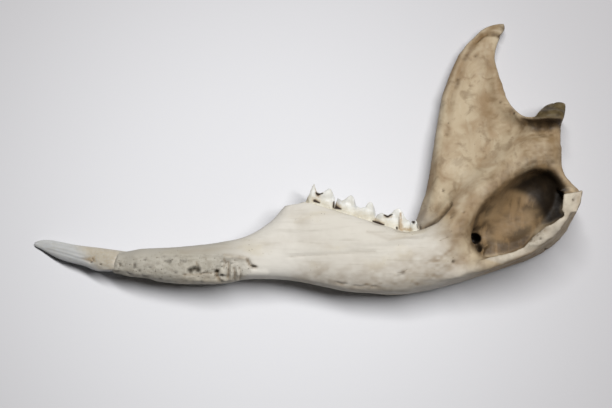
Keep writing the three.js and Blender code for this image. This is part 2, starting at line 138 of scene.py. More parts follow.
def line_distance(pixels, path):
    """How far each pixel is from a line through the path's pixels, in millimetres."""
    path = np.reshape(path, (-1, 2))
    if len(path) == 1:
        return np.linalg.norm(pixels - path[0], axis=1) * PIXEL
    nearest = np.full(len(pixels), np.inf)
    for start, end in zip(path, path[1:]):
        span = end - start
        along = np.clip((pixels - start) @ span / (span @ span), 0, 1)
        nearest = np.minimum(nearest, np.linalg.norm(pixels - start - along[:, None] * span, axis=1))
    return nearest * PIXEL


def inside_polygon(pixels, polygon):
    polygon = np.reshape(polygon, (-1, 2)).astype(float)
    inside = np.zeros(len(pixels), bool)
    for (x1, y1), (x2, y2) in zip(polygon, np.roll(polygon, -1, axis=0)):
        crosses = (y1 > pixels[:, 1]) != (y2 > pixels[:, 1])
        with np.errstate(divide="ignore", invalid="ignore"):
            side = pixels[:, 0] < (x2 - x1) * (pixels[:, 1] - y1) / (y2 - y1) + x1
        inside ^= crosses & side
    return inside


# Meshes
WELD = 0.002  # points of the model that are closer than this are one
FIT_ROUNDS = 2  # how often a subdivided surface is fitted to its points, and the share moved each time
FIT_SHARE = 0.8


def cad_mesh(node):
    """The node's own surface as a new bmesh in the jaw's frame, welded."""
    shape = bmesh.new()
    shape.from_mesh(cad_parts[node].data)
    for vertex in shape.verts:
        vertex.co = vertex.co / MM - Vector(ORIGIN)
    bmesh.ops.remove_doubles(shape, verts=shape.verts, dist=WELD)
    return shape


def finished(shape):
    """The bmesh as a mesh, in its place."""
    mesh = bpy.data.meshes.new("form")
    shape.to_mesh(mesh)
    shape.free()
    return mesh


def read(items, name):
    """One row of three numbers for each item."""
    values = np.empty(len(items) * 3, np.float32)
    items.foreach_get(name, values)
    return values.reshape(-1, 3).astype(float)


def move(mesh, points):
    mesh.vertices.foreach_set("co", points.astype(np.float32).ravel())
    mesh.update()


def with_modifier(mesh, kind, **settings):
    """A new mesh, from this one with a modifier applied to it."""
    holder = add_object("holder", mesh)
    modifier = holder.modifiers.new(kind, kind)
    for name, value in settings.items():
        setattr(modifier, name, value)
    graph = bpy.context.evaluated_depsgraph_get()
    made = bpy.data.meshes.new_from_object(holder.evaluated_get(graph))
    bpy.data.objects.remove(holder)
    return made


def smooth_through(shape, levels):
    """A subdivided surface that still runs through the points of this bmesh."""
    mesh = finished(shape)
    goal = read(mesh.vertices, "co")
    moved = goal.copy()
    for _ in range(FIT_ROUNDS):
        move(mesh, moved)
        made = with_modifier(mesh, "SUBSURF", levels=levels)
        moved += FIT_SHARE * (goal - read(made.vertices, "co")[: len(goal)])
    move(mesh, moved)
    return with_modifier(mesh, "SUBSURF", levels=levels)


def one_skin(meshes, voxel):
    """The outer surface of these closed meshes together, in even small faces."""
    shape = bmesh.new()
    for mesh in meshes:
        shape.from_mesh(mesh)
    return with_modifier(finished(shape), "REMESH", mode="VOXEL", voxel_size=voxel, adaptivity=0)


TAPER_STEPS = 16
RELAX_PUSHES = (1, -1.02)  # each round shrinks the surface and swells it again
FACING = (-0.15, 0.25)  # how much a face turns to the camera where marks begin and where they are full
BALL_FADE = (1.25, 1.02)  # the radii, as shares, between which a ball's mark comes in


class Form:
    """A surface that is being carved: its points, and values at each point that its material reads."""

    def __init__(self, mesh):
        self.mesh = mesh
        self.points = read(mesh.vertices, "co")
        pairs = np.empty(len(mesh.edges) * 2, np.int32)
        mesh.edges.foreach_get("vertices", pairs)
        self.edges = pairs.reshape(-1, 2)
        self.marks = {}
        self.refresh()

    def refresh(self):
        """Works out the normals and the pixels of the points as they now are."""
        move(self.mesh, self.points)
        self.normals = read(self.mesh.vertices, "normal")
        self.pixels = to_pixels(self.points)
        self.facing = self.turned_to_camera()

    def turned_to_camera(self, steep=0):
        """From 1 where the surface faces the camera to 0 where it turns away. steep lets in more."""
        return soft_step(self.normals @ camera_axes()[2], FACING[0] - steep, FACING[1] - steep)

    def blurred(self, values, rounds):
        """Each point's value after it has run together with its neighbours' that many times."""
        first, second = self.edges.T
        count = len(self.points)
        degree = np.maximum(np.bincount(self.edges.ravel(), minlength=count), 1)
        for _ in range(rounds):
            total = np.bincount(first, values[second], count) + np.bincount(second, values[first], count)
            values = 0.5 * values + 0.5 * total / degree
        return values

    def blurred_points(self, rounds):
        return np.stack([self.blurred(self.points[:, axis], rounds) for axis in range(3)], axis=1)

    def relax(self, rounds, share=1):
        """Smooths the surface without shrinking it."""
        for _ in range(rounds):
            for push in RELAX_PUSHES:
                step = self.blurred_points(1) - self.points
                self.points = self.points + push * step * np.reshape(share, (-1, 1))
        self.refresh()

    def near(self, path, width):
        """From 1 on the line through these pixels to 0 at that width from it, where it faces the camera."""
        return np.clip(1 - (line_distance(self.pixels, path) / width) ** 2, 0, 1) ** 2 * self.facing

    def tapered(self, start, end, first_width, last_width):
        """The same for a straight line whose width changes from its start to its end."""
        start, end = np.array(start), np.array(end)
        close = np.zeros(len(self.points))
        for share in np.linspace(0, 1, TAPER_STEPS):
            width = first_width + share * (last_width - first_width)
            close = np.maximum(close, self.near([start + share * (end - start)], width))
        return close

    def within(self, polygon, edge=1, steep=0):
        """From 1 inside these pixels to 0 outside, softly over that many millimetres."""
        away = line_distance(self.pixels, [*polygon, *polygon[:2]])
        signed = np.where(inside_polygon(self.pixels, polygon), away, -away)
        return soft_step(signed, -edge, edge) * self.turned_to_camera(steep)

    def inside_ball(self, centre, radii):
        """From 1 inside an ellipsoid to 0 a little outside it."""
        reach = np.linalg.norm((self.points - np.array(centre)) / np.array(radii), axis=1)
        return soft_step(reach, *BALL_FADE)

    def mark(self, name, amount):
        self.marks[name] = np.maximum(self.marks.get(name, 0), amount)

    def noise(self, size, seed):
        return noise(self.points, size, seed)

    def push(self, amount):
        """Moves each point out along its normal by that many millimetres."""
        self.points = self.points + self.normals * np.reshape(amount, (-1, 1))

    def hollows(self, rounds, full):
        """From 1 in hollows to -1 on edges, where full is the depth in millimetres that counts as 1."""
        depth = np.sum((self.blurred_points(rounds) - self.points) * self.normals, axis=1)
        return np.clip(depth / full, -1, 1)


def add_piece(form, name, material, node):
    """Makes the form an object in place of its CAD node, kept inside that node's own box."""
    low, high = (np.array(corner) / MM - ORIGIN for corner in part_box(node))
    form.points = np.clip(form.points, low, high)
    form.refresh()
    for mark, values in form.marks.items():
        attribute = form.mesh.attributes.new(mark, "FLOAT", "POINT")
        attribute.data.foreach_set("value", values.astype(np.float32))
    move(form.mesh, (form.points + ORIGIN) * MM)
    form.mesh.materials.clear()
    form.mesh.materials.append(material)
    form.mesh.shade_smooth()
    piece = add_object(name, form.mesh)
    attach(piece, "root")
    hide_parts(node)


# Materials
COLOUR_SOCKETS = (6, 7)  # a mix node's inputs when it mixes colours


class Look:
    """A material, with short ways to add the nodes that it is made of."""

    def __init__(self, name):
        self.material = bpy.data.materials.new(name)
        self.material.use_nodes = True
        self.tree = self.material.node_tree
        self.shader = self.tree.nodes["Principled BSDF"]
        self.place = self.add("ShaderNodeTexCoord").outputs["Object"]

    def add(self, kind, inputs=None, **settings):
        node = self.tree.nodes.new(kind)
        for name, value in settings.items():
            setattr(node, name, value)
        for name, value in (inputs or {}).items():
            self.feed(node.inputs[name], value)
        return node

    def feed(self, socket, value):
        if isinstance(value, bpy.types.NodeSocket):
            self.tree.links.new(value, socket)
        else:
            socket.default_value = value

    def value(self, name):
        """The values that the mesh carries under that name."""
        return self.add("ShaderNodeAttribute", attribute_name=name).outputs["Fac"]

    def grain(self, size, stretch=(1, 1, 1), detail=4, twist=0, offset=(0, 0, 0)):
        """Noise in lumps of that many millimetres, longer along an axis by its stretch."""
        scale = [1 / (size * MM * s) for s in stretch]
        at = self.add("ShaderNodeMapping", {"Vector": self.place, "Scale": scale, "Location": offset})
        inputs = {"Vector": at.outputs[0], "Scale": 1.0, "Detail": detail, "Distortion": twist}
        return self.add("ShaderNodeTexNoise", inputs).outputs["Fac"]

    def cells(self, size, stretch=(1, 1, 1)):
        """The distance to the nearest of many scattered points, which are that far apart."""
        scale = [1 / (size * MM * s) for s in stretch]
        at = self.add("ShaderNodeMapping", {"Vector": self.place, "Scale": scale})
        return self.add("ShaderNodeTexVoronoi", {"Vector": at.outputs[0], "Scale": 1.0}).outputs["Distance"]

    def spread(self, value, low, high, to_low=0, to_high=1):
        """The value, drawn out so that low becomes to_low and high becomes to_high."""
        inputs = {"Value": value, "From Min": low, "From Max": high, "To Min": to_low, "To Max": to_high}
        return self.add("ShaderNodeMapRange", inputs, interpolation_type="SMOOTHSTEP").outputs["Result"]

    def maths(self, operation, *values):
        node = self.add("ShaderNodeMath", operation=operation)
        for socket, value in zip(node.inputs, values):
            self.feed(socket, value)
        return node.outputs[0]

    def times(self, first, second):
        return self.maths("MULTIPLY", first, second)

    def mixed(self, colour, *layers):
        """A colour with layers over it, each a colour and its share. Three numbers are a colour for rgb."""
        for above, share in layers:
            below, above = (rgb(*value) if isinstance(value, tuple) else value for value in (colour, above))
            inputs = {"Factor": share, COLOUR_SOCKETS[0]: below, COLOUR_SOCKETS[1]: above}
            colour = self.add("ShaderNodeMix", inputs, data_type="RGBA").outputs[2]
        return colour

    def finish(self, colour, roughness, height, depth):
        """Joins the nodes to the shader. depth is what a height of 1 stands for, in millimetres."""
        self.feed(self.shader.inputs["Base Color"], colour)
        self.feed(self.shader.inputs["Roughness"], roughness)
        inputs = {"Height": height, "Distance": depth * MM, "Strength": 1.0}
        self.feed(self.shader.inputs["Normal"], self.add("ShaderNodeBump", inputs).outputs["Normal"])
        return self.material


REFLECTANCE = 0.72  # share of the light that comes back from what the picture shows as white
BONE_GLOSS = 0.2  # dry bone shines less than most things do, which have 0.5
BONE_BUMP, ENAMEL_BUMP, PAPER_BUMP = 0.12, 0.03, 0.01  # how far their grain stands up, in millimetres
GLOW = 0.08  # share of the light that spreads inside enamel, and how far each colour of it goes
GLOW_REACH = (0.6, 0.45, 0.3)


def rgb(red, green, blue):
    """A material's colour, given as the picture shows it in full light, from 0 to 255."""
    linear = [((c / 255 + 0.055) / 1.055) ** 2.4 for c in (red, green, blue)]
    return (*(REFLECTANCE * c for c in linear), 1.0)


def bone_material():
    look = Look("dry_bone")
    broad = look.grain(22, (1.6, 1, 1), 3)
    patches = look.grain(6, (1.8, 1, 1), 5, 0.15)
    mottle = look.grain(2.6, (1, 1, 1), 6, 0.1, (5, 2, 1))
    clouds = look.grain(7, (1, 1.5, 1), 6, 0.7, (2, 4, 1))
    blots = look.grain(9, (1, 1, 1), 6, 0.3)
    small_blots = look.grain(3.4, (1, 1, 1), 7, 0.6)
    upright = look.grain(2.4, (1, 4, 1), 5, 0.1, (1, 7, 3))
    fine = look.grain(1.1, (1.5, 1, 1), 6, 0.2)
    streaks = look.grain(0.9, (14, 1, 1.4), 5, 0.2)
    long_streaks = look.grain(2.6, (10, 1, 1.4), 4, 0.3, (3, 1, 2))
    specks = look.cells(1.3)
    ramus, stain_and_shade, rough, hollow = (look.value(name) for name in ("ramus", "stain_and_shade", "rough", "hollow"))
    body = look.maths("SUBTRACT", 1.0, ramus)

    cream = look.mixed(
        (232, 227, 217),
        ((221, 215, 203), look.spread(broad, 0.35, 0.65)),
        ((212, 199, 168), look.spread(patches, 0.5, 0.76, 0, 0.5)),
        ((200, 194, 182), look.spread(long_streaks, 0.52, 0.78, 0, 0.6)),
        ((174, 168, 155), look.times(look.value("front"), 0.78)),
    )
    tan = look.mixed(
        (194, 176, 147),
        ((166, 142, 111), look.spread(clouds, 0.38, 0.66)),
        ((206, 193, 166), look.spread(upright, 0.52, 0.75, 0, 0.4)),
        ((150, 125, 93), look.spread(blots, 0.5, 0.74, 0, 0.5)),
        ((132, 110, 82), look.spread(small_blots, 0.5, 0.7, 0, 0.6)),
        ((140, 116, 88), look.spread(mottle, 0.42, 0.26, 0, 0.45)),
    )
    grey = look.mixed((198, 192, 178), ((160, 152, 137), look.spread(fine, 0.4, 0.7)))
    dots = look.times(look.spread(look.cells(0.85, (1.5, 1, 1)), 0.26, 0.1), rough)
    dots = look.times(dots, look.spread(mottle, 0.4, 0.58))
    stain_and_shade = look.times(stain_and_shade, look.spread(patches, 0.3, 0.62, 0.45, 1))
    specks = look.times(look.spread(specks, 0.16, 0.08), look.spread(patches, 0.5, 0.62))
    lines = look.times(look.spread(streaks, 0.56, 0.72, 0, 0.22), body)
    # darker in the surface's hollows: painted shade
    crevice_shade = look.spread(look.maths("ADD", hollow, look.times(fine, 0.3)), 0.4, 1.3, 0, 0.75)
    # lighter on convex edges: wear, together with a painted highlight
    edges = look.times(look.spread(hollow, -0.25, -0.9, 0, 0.3), look.spread(ramus, 0, 1, 1, 0.4))
    # the brown of the hollow's floor: the bone's stain, darkened with painted shade; the same brown paints
    # shade in the condyle's recess and on slopes into the hollow
    inside = look.mixed(
        (136, 111, 79),
        ((78, 60, 39), look.spread(patches, 0.35, 0.62)),
        ((138, 111, 77), look.spread(upright, 0.46, 0.66, 0, 0.8)),
    )
    lobe = look.mixed((98, 84, 56), ((72, 59, 36), look.spread(mottle, 0.4, 0.65)))
    colour = look.mixed(
        cream,
        (tan, ramus),
        (grey, look.times(rough, 0.5)),
        ((84, 76, 64), look.times(dots, 0.75)),
        # brown stain, with painted shade in grooves, on the body's lower half and on the wall's outer side
        ((134, 108, 74), stain_and_shade),
        ((112, 96, 76), look.times(specks, 0.5)),
        ((158, 149, 132), lines),
        ((104, 86, 62), crevice_shade),
        ((230, 222, 204), edges),
        (inside, look.value("brown_stain_and_shade")),
        # painted highlight on raised rims and lit bulges
        ((222, 208, 182), look.times(look.value("painted_highlight"), 0.7)),
        (lobe, look.value("olive")),
        # near black: painted shade in pits, holes, the canal, the condyle's recess, under the hollow's
        # overhang and along creases
        ((22, 16, 11), look.value("shade_and_dark_spots")),
    )

    roughness = look.spread(fine, 0.3, 0.8, 0.52, 0.74)
    height = look.maths("ADD", look.times(fine, 0.5), look.times(look.times(streaks, body), 0.35))
    pores = look.times(look.spread(look.cells(0.55), 0.28, 0.05), look.maths("ADD", rough, 0.08))
    height = look.maths("SUBTRACT", height, pores)
    height = look.maths("ADD", height, look.times(look.grain(0.7, detail=3), rough))
    look.shader.inputs["Specular IOR Level"].default_value = BONE_GLOSS
    return look.finish(colour, roughness, height, BONE_BUMP)


def enamel_material():
    look = Look("tooth_enamel")
    patches = look.grain(2.2, (1, 1, 1), 4, 0.5)
    fine = look.grain(0.5, (1.4, 1, 1), 5)
    bands = look.grain(0.35, (0.7, 6, 3), 3)
    lines = look.grain(0.6, (12, 1, 1), 4, 0.4)
    neck, stain_and_shade, shade_and_dark_spots, hollow = (look.value(name) for name in ("neck", "stain_and_shade", "shade_and_dark_spots", "hollow"))
    dentine = look.mixed((216, 207, 182), ((196, 184, 156), look.spread(patches, 0.4, 0.65)))
    # darker in the teeth's hollows: painted shade
    crevice_shade = look.spread(look.maths("ADD", hollow, look.times(fine, 0.3)), 0.45, 1.2, 0, 0.7)
    colour = look.mixed(
        (228, 227, 221),
        ((208, 205, 194), look.spread(patches, 0.35, 0.7)),
        # grey: the incisor's own tone, and painted shade on the back sides of the molars' ridges
        ((203, 204, 204), look.times(look.value("grey_tone_and_shade"), 0.8)),
        ((192, 190, 182), look.spread(bands, 0.55, 0.8, 0, 0.35)),
        ((196, 194, 184), look.spread(lines, 0.5, 0.75, 0, 0.4)),
        (dentine, look.times(neck, look.spread(fine, 0.2, 0.7, 0.7, 1))),
        # tan stain, and painted shade round the molars' notches
        ((168, 140, 98), look.times(stain_and_shade, look.spread(fine, 0.2, 0.6, 0.5, 1))),
        ((120, 92, 58), crevice_shade),
        # near black: painted shade in the molars' notches and gaps, and the incisor's own dark specks
        ((50, 34, 20), look.spread(shade_and_dark_spots, 0.05, 0.9)),
    )
    roughness = look.maths("ADD", look.spread(fine, 0.3, 0.8, 0.36, 0.5), look.times(neck, 0.15))
    roughness = look.maths("ADD", roughness, look.times(shade_and_dark_spots, 0.4))
    height = look.maths("ADD", look.times(fine, 0.5), look.times(bands, 0.4))
    look.shader.inputs["Subsurface Weight"].default_value = GLOW
    look.shader.inputs["Subsurface Radius"].default_value = GLOW_REACH
    look.shader.inputs["Subsurface Scale"].default_value = MM
    return look.finish(colour, roughness, height, ENAMEL_BUMP)


# The bone
BONE_VOXEL = 0.44
GUM_LINE = -0.6  # where the sockets are filled up to, above the row's line
ROW_START = np.array([80.3, 27.0, 10.6])
ROW_FALL = 0.3
ROW_ALONG = np.array([math.cos(ROW_FALL), -math.sin(ROW_FALL), 0])
ROW_UP = np.array([math.sin(ROW_FALL), math.cos(ROW_FALL), 0])
MOLAR_NODES = ["first_molar", "second_molar", "third_molar", "fourth_molar"]
COLLAR_EDGE = np.array([22.0, 6.5, 0])  # a point of the bone's front edge, which slopes back as it rises
COLLAR_SLOPE = 0.5
COLLAR_THINNING = 0.9  # how far the bone comes down to the incisor at that edge
COLLAR_LENGTH = 7  # and how far back that reaches
PLUG_SWELL = 0.45  # enough to close the gap round a root
PLUG_END = COLLAR_EDGE + [0.9, 0, 0]  # where the incisor's plug ends, just behind the bone's front edge
BLOCK_TOP = 34  # above everything
BALL_DETAIL = 4


def plug(node, point, normal):
    """The root of a tooth, swollen to fill its socket, as far as a plane."""
    shape = cad_mesh(node)
    shape.normal_update()
    for vertex in shape.verts:
        vertex.co += vertex.normal * PLUG_SWELL
    whole = [*shape.verts, *shape.edges, *shape.faces]
    plane = {"plane_co": Vector(point), "plane_no": Vector(normal)}
    bmesh.ops.bisect_plane(shape, geom=whole, clear_outer=True, **plane)
    bmesh.ops.holes_fill(shape, edges=shape.edges, sides=0)
    return finished(shape)


def block(outline, low, widen=1.0, high=BLOCK_TOP):
    """A closed block over an outline of pixels, its sides along the camera's rays, or wider at its foot."""
    top = from_pixels(outline, high)
    foot = from_pixels(outline, low)
    foot[:, :2] = foot[:, :2].mean(0) + widen * (foot[:, :2] - foot[:, :2].mean(0))
    shape = bmesh.new()
    upper = [shape.verts.new(point) for point in top]
    lower = [shape.verts.new(point) for point in foot]
    count = len(top)
    for i in range(count):
        after = (i + 1) % count
        shape.faces.new([upper[i], lower[i], lower[after], upper[after]])
    shape.faces.new(upper)
    shape.faces.new(lower[::-1])
    bmesh.ops.recalc_face_normals(shape, faces=shape.faces)
    return finished(shape)


def ball(centre, radii):
    shape = bmesh.new()
    place = Matrix.Translation(centre) @ Matrix.Diagonal((*radii, 1))
    bmesh.ops.create_icosphere(shape, subdivisions=BALL_DETAIL, radius=1, matrix=place)
    return finished(shape)


def cut(mesh, tools):
    """The mesh without the space that these tools fill."""
    whole = add_object("whole", mesh)
    cutters = [add_object("cutter", tool) for tool in tools]
    for cutter in cutters:
        modifier = whole.modifiers.new("cut", "BOOLEAN")
        modifier.operation = "DIFFERENCE"
        modifier.solver = "EXACT"
        modifier.object = cutter
    graph = bpy.context.evaluated_depsgraph_get()
    made = bpy.data.meshes.new_from_object(whole.evaluated_get(graph))
    for item in (whole, *cutters):
        bpy.data.objects.remove(item)
    return made


GROUND = -1  # just under what the jaw lies on
# The hollow as far as the broken inner edge of the wall, which a block cuts clean
WALL_EDGE = [
    562.4, 194.7, 561.9, 203.4, 560.4, 210.5, 563.7, 215.6, 557.9, 220.2, 550.2, 224.8, 541.5, 226.2,
    536.4, 229.6, 533.2, 235.4, 529.4, 240.2, 524.8, 246.2, 512.5, 251.4, 497, 254.6, 486, 255.6, 489, 246,
    510, 232, 540, 214, 552, 193,
]
WALL_EDGE_LOW = 9.6
WALL_EDGE_SPREAD = 1.1  # how much wider that block is at its foot, since the wall leans over the hollow
# The square end where the wall broke off, and the corner that stands up there
WALL_END = [556, 196.2, 566.5, 193.4, 576.2, 192.2, 582.8, 190.2, 590, 189.8, 590, 172, 557, 172]
WALL_END_LOW = 17.2
WALL_CORNER = [569, 190, 582.6, 186, 582, 194.7, 580.2, 203, 576.6, 212, 569, 212]
WALL_CORNER_LOW, WALL_CORNER_TOP = 19.0, 25.2
# The notch between the coronoid process and the condyle
NOTCH = [
    505.4, 95.8, 510.8, 105, 516.3, 111, 521.7, 115.4, 527.1, 117.2, 535.4, 117.2, 538, 113, 541.4, 109.4,
    546, 105.4, 552, 103.2, 552, 90, 508, 88,
]
# The hooked tip of the coronoid process: what its front lacks, and what its back has too much of
TIP_FRONT = [
    462, 52.5, 466, 46, 472.1, 39.2, 478.3, 33.1, 485.4, 28, 492.6, 25.2, 499.7, 24.1, 503.6, 23.9,
    504.6, 27, 498, 31, 488, 36, 478, 42, 468, 52,
]
TIP_LOW, TIP_HIGH = 1.5, 4.2
TIP_BACK = [
    505.5, 25.4, 504.9, 28.8, 502.9, 31.8, 501.3, 34.4, 499.8, 38, 498.3, 41.5, 496.7, 45.6, 495.2, 50.7,
    494.7, 55.8, 494.6, 58.5, 512, 60, 514, 24,
]
# The straight back of the condyle, and the lump that fills its upper corner
CONDYLE_BACK = [
    565.6, 104, 565.2, 111, 563.8, 118, 561.8, 124, 560.6, 134, 560.4, 147, 574, 147, 574, 100, 566, 100,
]
CONDYLE_CORNER = (558.4, 108.4)
CONDYLE_CORNER_HEIGHT = 10.5
CONDYLE_CORNER_RADII = [2.6, 1.75, 4.0]
# The low place on the toothless margin in front of the first molar
MARGIN = [286, 206, 290, 205, 298, 203.9, 305.8, 201.4, 306, 190, 284, 190]
# What lies below the lower border at the front
FRONT_UNDER = [
    100, 271.8, 105, 272.6, 110.1, 274.1, 120.3, 275.4, 130.5, 276.7, 148.9, 278.2, 153.5, 280, 160, 282.2,
    160, 296, 100, 296,
]
# The canal that runs into the bone from the hollow's front, and the pit that widens its mouth downwards
CANAL_HOLE = ([129.2, 16.2, 8.8], [1.9, 1.5, 4.4])
CANAL_PIT = ([130.0, 13.2, 12.2], [1.0, 2.2, 4.6])
# Edges sharper than this stay sharp around the molars' sockets and around the incisor's
CREASE_ANGLE = math.radians(50)
SOCKETS_ALONG, SOCKETS_UP, SOCKETS_ACROSS = (-1.5, 40), (-9, 4), 4.5  # from the start of the molars' row
INCISOR_SOCKET_END = 36  # along X


def bone_skin():
    """The bone's surface in fine faces, without the model's flat facets and with its sockets filled."""
    shape = cad_mesh("jawbone")
    creases = shape.edges.layers.float.new("crease_edge")
    for edge in shape.edges:
        middle = np.array((edge.verts[0].co + edge.verts[1].co) / 2)
        local = middle - ROW_START
        by_teeth = SOCKETS_ALONG[0] < local @ ROW_ALONG < SOCKETS_ALONG[1]
        by_teeth = by_teeth and SOCKETS_UP[0] < local @ ROW_UP < SOCKETS_UP[1]
        by_teeth = by_teeth and abs(local[2]) < SOCKETS_ACROSS
        if (by_teeth or middle[0] < INCISOR_SOCKET_END) and edge.calc_face_angle(0) > CREASE_ANGLE:
            edge[creases] = 1.0
    smooth = smooth_through(shape, 2)
    corner = from_pixels([CONDYLE_CORNER], CONDYLE_CORNER_HEIGHT)[0]
    lumps = [ball(corner, CONDYLE_CORNER_RADII), block(WALL_CORNER, WALL_CORNER_LOW, high=WALL_CORNER_TOP)]
    lumps.append(block(TIP_FRONT, TIP_LOW, high=TIP_HIGH))
    tools = [block(WALL_EDGE, WALL_EDGE_LOW, WALL_EDGE_SPREAD), block(WALL_END, WALL_END_LOW)]
    tools += [block(outline, GROUND) for outline in (NOTCH, TIP_BACK, CONDYLE_BACK, MARGIN, FRONT_UNDER)]
    tools += [ball(*CANAL_HOLE), ball(*CANAL_PIT)]
    smooth = cut(one_skin([smooth, *lumps], BONE_VOXEL), tools)
    plugs = [plug(node, ROW_START + GUM_LINE * ROW_UP, ROW_UP) for node in MOLAR_NODES]
    plugs.append(plug("incisor", PLUG_END, [-1, COLLAR_SLOPE, 0]))
    return Form(one_skin([smooth, *plugs], BONE_VOXEL))


# Details of the bone, as pixels of the photograph, with their reach and depth in millimetres
PITS = [
    # the holes in the joint face between the two halves of the jaw
    (190, 271, 1.3, 1.7), (193.8, 269, 1.1, 1.4), (197.4, 270.4, 1.3, 1.7), (216.2, 272, 1, 1.6),
    (222, 276, 0.8, 1.2), (207, 271.7, 0.45, 0.5), (119.2, 264.4, 0.6, 0.5), (133.8, 264.4, 0.5, 0.4),
    (124, 262.5, 0.4, 0.3), (203.5, 273, 0.4, 0.3), (180.5, 270.5, 0.35, 0.3), (158, 270, 0.4, 0.3),
    # openings for nerves and vessels
    (253, 267, 0.8, 0.8), (453.5, 262, 0.7, 0.9), (456.6, 255, 0.45, 0.4), (442.8, 190.4, 0.65, 0.6),
    (463.5, 211.8, 0.5, 0.5), (450.5, 217, 0.5, 0.5), (475.8, 56.3, 0.6, 0.45), (500, 102, 0.5, 0.5),
    (513.3, 113, 0.55, 0.5), (448.3, 122.7, 0.45, 0.4), (457.5, 79, 0.45, 0.35), (295, 220, 0.35, 0.3),
    (546, 250, 0.8, 0.7), (574, 200, 0.7, 0.6), (540, 239, 0.7, 0.6), (502, 249.5, 0.4, 0.4),
    (418.2, 226.4, 0.5, 0.7),
]
GROOVES = [
    # beside the collar round the incisor
    (114.6, 251.2, 112, 255, 110.6, 261, 109.8, 267, 110.2, 273, 0.6, 0.3),
    # folds at the back of the joint face
    (217, 271, 216.6, 276, 219.4, 280, 0.8, 0.7),
    (228.3, 262, 228.6, 270, 228, 278, 0.7, 0.6),
    (233.4, 268, 235.4, 273, 234.4, 279, 0.6, 0.45),
    (239, 268, 241, 273, 240, 278, 0.6, 0.4),
    (224, 258, 225, 263, 224, 268, 0.5, 0.4),
    (247.3, 259.6, 249.3, 264.5, 252.5, 267, 255.6, 267.6, 0.75, 0.9),
    # small pits that run together along the joint face
    (118, 264, 122, 266, 0.4, 0.3),
    (184, 275, 200, 274.5, 0.5, 0.4),
    (200, 274, 212, 273, 0.4, 0.35),
    (196, 262, 198, 267, 0.5, 0.35),
    # faint lines along the body
    (290.5, 256.5, 330, 254.3, 374.7, 252, 0.7, 0.16),
    (337, 282.6, 342, 284.2, 346, 284, 0.5, 0.25),
    (354, 286, 361, 287, 366, 285.4, 0.5, 0.2),
    (371, 286.6, 376, 286.8, 0.4, 0.2),
    (397, 273, 403, 272, 407.5, 269, 0.5, 0.25),
    (399.5, 272, 402.5, 274, 0.4, 0.2),
    (367.3, 231, 378, 234.5, 388.6, 238.9, 405.2, 236.6, 422, 237.5, 0.8, 0.2),
    (378, 232.5, 392, 236, 405, 234, 0.6, 0.12),
    # the crease between the body and the blade behind the teeth
    (418, 227.5, 425, 225, 432, 222.3, 436, 220.2, 440.4, 215.6, 447.4, 207.6, 449.6, 204, 1.1, 0.8),
    # the edge of the bone around the necks of the molars
    (306, 202, 314, 201.4, 320, 204, 333, 208.2, 341, 209.6, 352, 213.4, 360, 217, 368, 218.8, 0.5, 0.2),
    (368, 218.8, 374.6, 223.4, 384, 224.8, 392, 226, 394, 228.5, 399.4, 231, 408, 231.4, 0.5, 0.2),
    (408, 231.4, 413, 230, 418, 228.6, 424, 227.5, 0.5, 0.2),
    (439.9, 240.5, 447.6, 237, 0.5, 0.25),
    # beside the raised front rim of the blade
    (478.8, 37.5, 475, 42, 465.5, 58.5, 458, 80.3, 452, 95, 448.6, 122.7, 447, 133, 1.7, 0.5),
    (476, 40, 480, 36, 487.3, 33.6, 497, 34.2, 499.6, 36, 1, 0.6),
    # beside its raised rear rim
    (489, 70, 487.5, 84, 492, 104, 501, 118, 2.2, 0.35),
]
RIDGES = [
    (448.5, 130, 449, 122, 445, 100, 452, 80, 462, 58, 471, 44, 1.6, 0.3),
    (239, 272.5, 252, 273.6, 264.7, 273.4, 1.6, 0.35),
    (163, 254.9, 190, 254.5, 223.5, 254.9, 0.9, 0.2),
    (224.5, 257, 236, 256.8, 246.5, 259, 1, 0.45),
    (223, 262, 222, 268, 222.5, 274, 0.8, 0.35),
    (231.5, 264, 231.6, 271, 231, 279, 0.8, 0.4),
    (237, 266, 238.4, 272, 237.4, 279, 0.8, 0.35),
    (196, 279.5, 214, 280.5, 226, 280.5, 1, 0.3),
    (345, 289, 378, 291, 410, 290.5, 1.3, 0.2),
    (290, 249.5, 330, 248, 372, 247, 2.6, 0.18),
]
